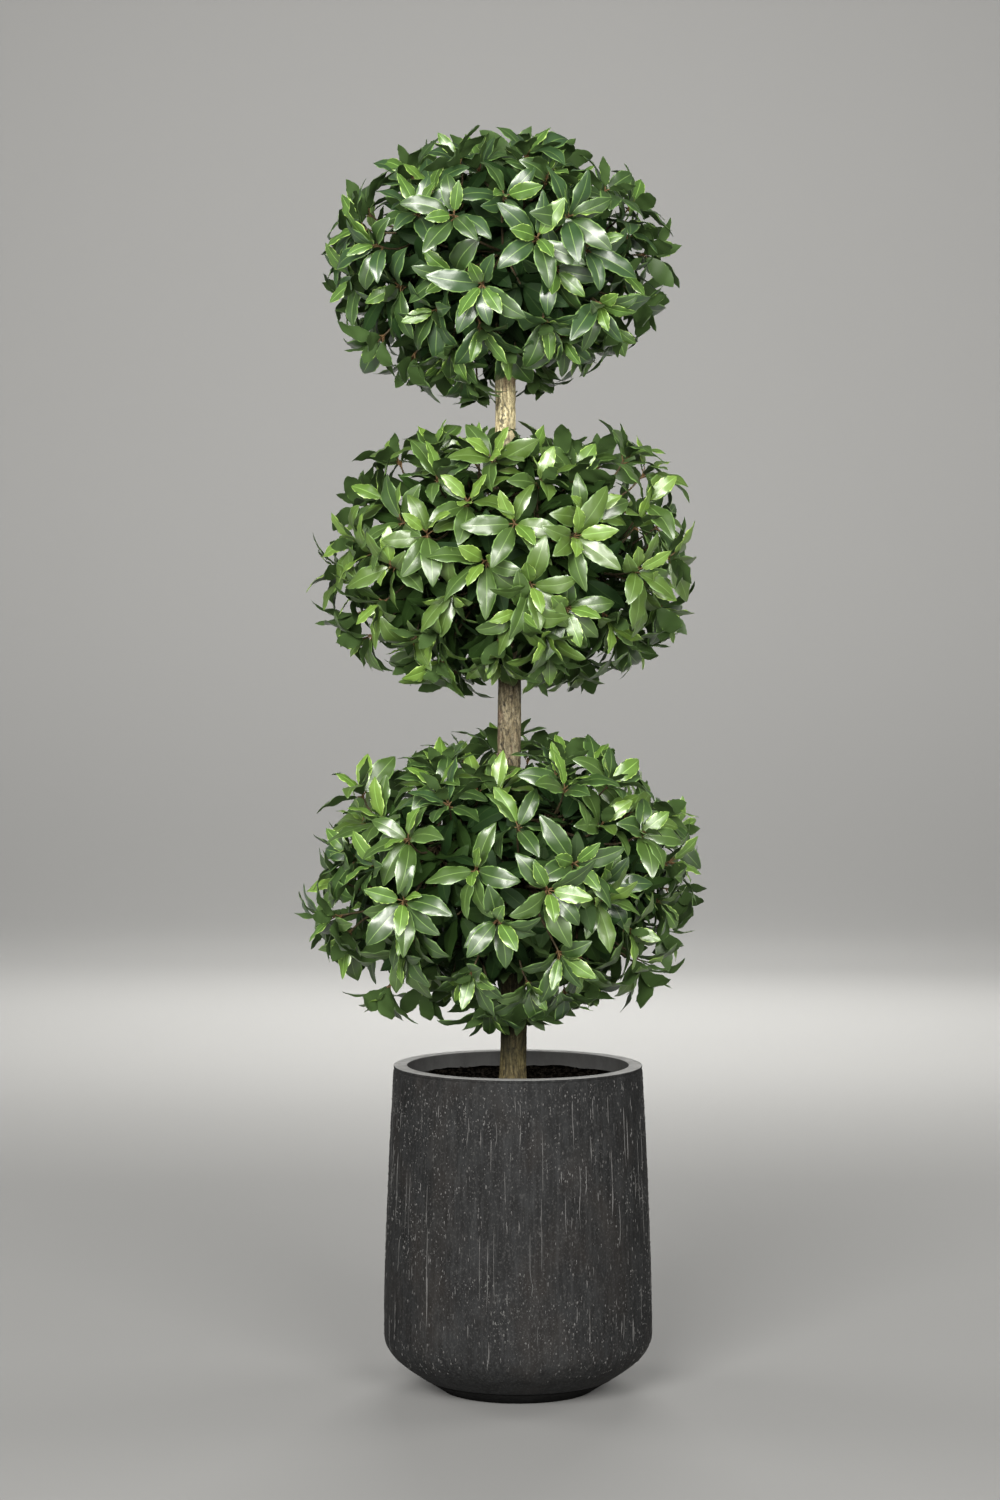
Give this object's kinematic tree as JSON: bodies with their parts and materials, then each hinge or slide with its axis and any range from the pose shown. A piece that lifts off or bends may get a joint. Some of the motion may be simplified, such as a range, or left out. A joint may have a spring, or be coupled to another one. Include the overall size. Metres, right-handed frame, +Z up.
{
  "type": "potted laurel ball topiary",
  "caption": "Bay laurel topiary: clipped balls of leaves one above another on an upright trunk, in a tall dark round planter. Stands on its flat base.",
  "frame": {"origin": "centre of the planter's flat underside, on the floor", "axes": "+Z up along the trunk, -Y towards the viewer in the picture, +X to the viewer's right"},
  "size_m": [0.5394, 0.5329, 1.6415],
  "materials": {
    "planter_shell": "matte charcoal cast stone with raised streaks",
    "planter_foot": "matte black",
    "compost": "loose dark bark compost",
    "bark": "rough tan bark with fibrous streaks",
    "leaves": "glossy dark green leaves"
  },
  "bodies": {
    "root": {"planter_body": "planter_shell", "planter_foot": "planter_foot", "potting_compost": "compost", "trunk": "bark", "foliage_ball_lower": "leaves", "foliage_ball_middle": "leaves", "foliage_ball_upper": "leaves"}
  },
  "joints": []
}
